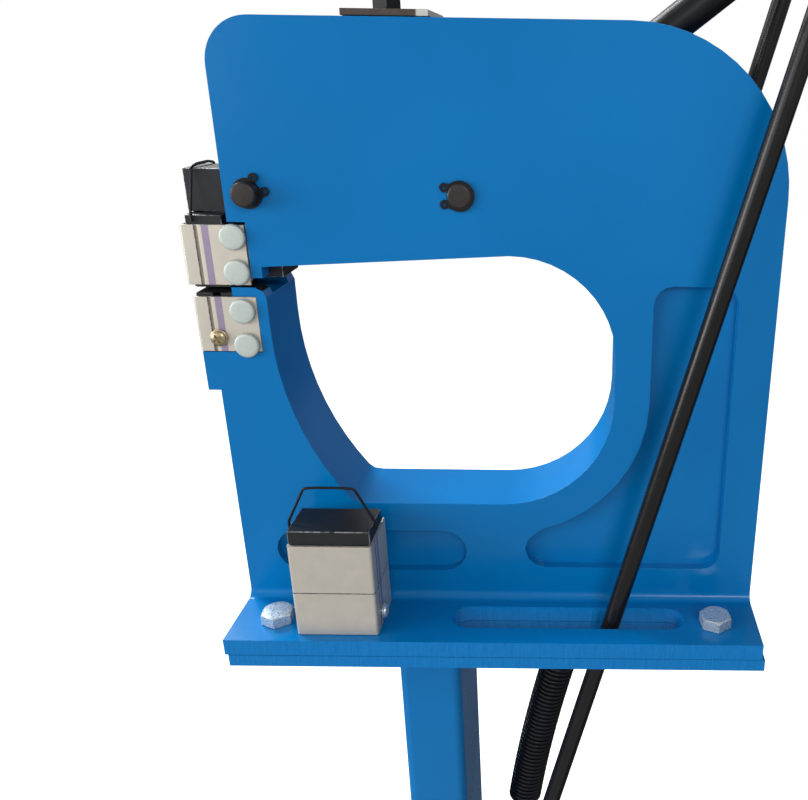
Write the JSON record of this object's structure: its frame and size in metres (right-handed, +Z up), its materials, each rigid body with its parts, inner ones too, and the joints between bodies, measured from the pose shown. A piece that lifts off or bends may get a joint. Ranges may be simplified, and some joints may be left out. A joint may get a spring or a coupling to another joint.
{
  "type": "deep-throat metal shrinker",
  "caption": "Foot-operated deep-throat shrinker and stretcher for sheet metal edges: a cast C-frame on a stand, with sliding jaw, compound levers, long rods and a treadle.",
  "frame": {"origin": "middle of the base plate's underside, on the floor", "axes": "+Z up; -X is the front, where the operator stands and the jaws are; the pivots run along Y, and Y = 0 is the middle plane of casting and levers"},
  "size_m": [0.52, 0.4, 1.2267],
  "materials": {
    "blue_enamel": "smooth glossy stoving enamel over slightly orange-peeled casting",
    "stainless_sheet": "satin rolled stainless sheet",
    "zinc_plate": "clear zinc plate, dull",
    "yellow_zinc": "yellow passivated zinc plate",
    "black_oxide": "oiled black oxide",
    "black_paint": "satin black paint",
    "die_steel": "ground tool steel, blackened",
    "stop_steel": "plain steel, dark"
  },
  "bodies": {
    "frame": {"head_casting": "blue_enamel", "stand_top_plate": "blue_enamel", "stand_column": "blue_enamel", "base_plate": "blue_enamel", "flange_bolt_1": "zinc_plate", "flange_bolt_2": "zinc_plate", "flange_bolt_3": "zinc_plate", "flange_bolt_4": "zinc_plate", "flange_nut_1": "zinc_plate", "flange_nut_2": "zinc_plate", "flange_nut_3": "zinc_plate", "flange_nut_4": "zinc_plate", "stop_plate": "stop_steel", "stop_locknut": "stop_steel", "front_pivot_pin": "black_oxide", "rear_pivot_pin": "black_oxide", "front_pivot_pin_circlip_near": "black_oxide", "front_pivot_pin_circlip_far": "black_oxide", "rear_pivot_pin_circlip_near": "black_oxide", "rear_pivot_pin_circlip_far": "black_oxide", "lower_die_block": "die_steel", "lower_jaw_cover": "stainless_sheet", "lower_clamp_bolt_1": "zinc_plate", "lower_clamp_bolt_2": "zinc_plate", "lower_pan_screw": "yellow_zinc", "return_spring": "black_oxide", "pedal_pivot_pin": "zinc_plate"},
    "stop_screw": {"stop_screw": "stop_steel"},
    "main_lever": {"main_lever": "black_oxide", "lever_bar": "black_paint", "rod_top_pin": "zinc_plate"},
    "inner_lever": {"inner_lever": "black_oxide"},
    "jaw_slide": {"jaw_slide": "die_steel", "upper_die_block": "die_steel", "upper_jaw_cover": "stainless_sheet", "upper_clamp_bolt_1": "zinc_plate", "upper_clamp_bolt_2": "zinc_plate", "upper_jaw_bail": "black_oxide"},
    "upper_grip_near": {"upper_grip_die_near": "die_steel"},
    "upper_grip_far": {"upper_grip_die_far": "die_steel"},
    "lower_grip_near": {"lower_grip_die_near": "die_steel"},
    "lower_grip_far": {"lower_grip_die_far": "die_steel"},
    "rods": {"rod_near": "black_paint", "rod_far": "black_paint", "spring_cross_bar": "black_paint", "rod_foot_pin": "zinc_plate"},
    "spring_hook": {"spring_hook": "black_oxide"},
    "pedal": {"pedal_arm_near": "black_paint", "pedal_arm_far": "black_paint", "treadle": "black_paint"},
    "spare_jaws": {"spare_lower_cover": "stainless_sheet", "spare_upper_cover": "stainless_sheet", "spare_lower_block": "die_steel", "spare_upper_block": "die_steel", "spare_bail": "black_oxide", "spare_screw_left": "zinc_plate", "spare_screw_right": "zinc_plate"}
  },
  "joints": [
    {"name": "pedal_press", "type": "hinge", "parent": "frame", "child": "pedal", "pos_m": [-0.0008, 0, 0.095], "axis": [0, -1, 0], "range_deg": [0, 17], "stiffness_Nm_per_rad": 20, "springref_deg": -28.65},
    {"name": "main_lever_turn", "type": "hinge", "parent": "frame", "child": "main_lever", "pos_m": [0.0261, 0, 1.0817], "axis": [0, 1, 0], "range_deg": [0, 9.77]},
    {"name": "rod_swing", "type": "hinge", "parent": "main_lever", "child": "rods", "pos_m": [0.20008, 0, 1.21471], "axis": [0, -1, 0], "range_deg": [0, 8.65]},
    {"name": "inner_lever_turn", "type": "hinge", "parent": "frame", "child": "inner_lever", "pos_m": [-0.0776, 0, 1.0817], "axis": [0, -1, 0], "range_deg": [0, 6.41]},
    {"name": "jaw_travel", "type": "slide", "parent": "frame", "child": "jaw_slide", "axis": [0, 0, -1], "range_m": [0, 0.00206]},
    {"name": "spring_stretch", "type": "slide", "parent": "frame", "child": "spring_hook", "axis": [0.3028, 0, -0.9531], "range_m": [0, 0.02929], "deforming": ["return_spring"]},
    {"name": "upper_grip_near_close", "type": "slide", "parent": "jaw_slide", "child": "upper_grip_near", "axis": [0, 1, 0], "range_m": [0, 0.0008]},
    {"name": "upper_grip_far_close", "type": "slide", "parent": "jaw_slide", "child": "upper_grip_far", "axis": [0, -1, 0], "range_m": [0, 0.0008]},
    {"name": "lower_grip_near_close", "type": "slide", "parent": "frame", "child": "lower_grip_near", "axis": [0, 1, 0], "range_m": [0, 0.0008]},
    {"name": "lower_grip_far_close", "type": "slide", "parent": "frame", "child": "lower_grip_far", "axis": [0, -1, 0], "range_m": [0, 0.0008]},
    {"name": "stop_screw_feed", "type": "slide", "parent": "frame", "child": "stop_screw", "axis": [0, 0, 1], "range_m": [0, 0.008]},
    {"name": "spare_jaw_lift", "type": "slide", "parent": "frame", "child": "spare_jaws", "axis": [0, 0, 1], "range_m": [0, 0.25]}
  ],
  "couplings": [
    {"joint": "main_lever_turn", "follows": "pedal_press", "ratio": 0.5743},
    {"joint": "rod_swing", "follows": "pedal_press", "ratio": 0.5083},
    {"joint": "inner_lever_turn", "follows": "pedal_press", "ratio": 0.37706},
    {"joint": "jaw_travel", "follows": "pedal_press", "m_per_rad": 0.006938},
    {"joint": "spring_stretch", "follows": "pedal_press", "m_per_rad": 0.098691},
    {"joint": "upper_grip_near_close", "follows": "pedal_press", "m_per_rad": 0.002696},
    {"joint": "upper_grip_far_close", "follows": "pedal_press", "m_per_rad": 0.002696},
    {"joint": "lower_grip_near_close", "follows": "pedal_press", "m_per_rad": 0.002696},
    {"joint": "lower_grip_far_close", "follows": "pedal_press", "m_per_rad": 0.002696}
  ]
}
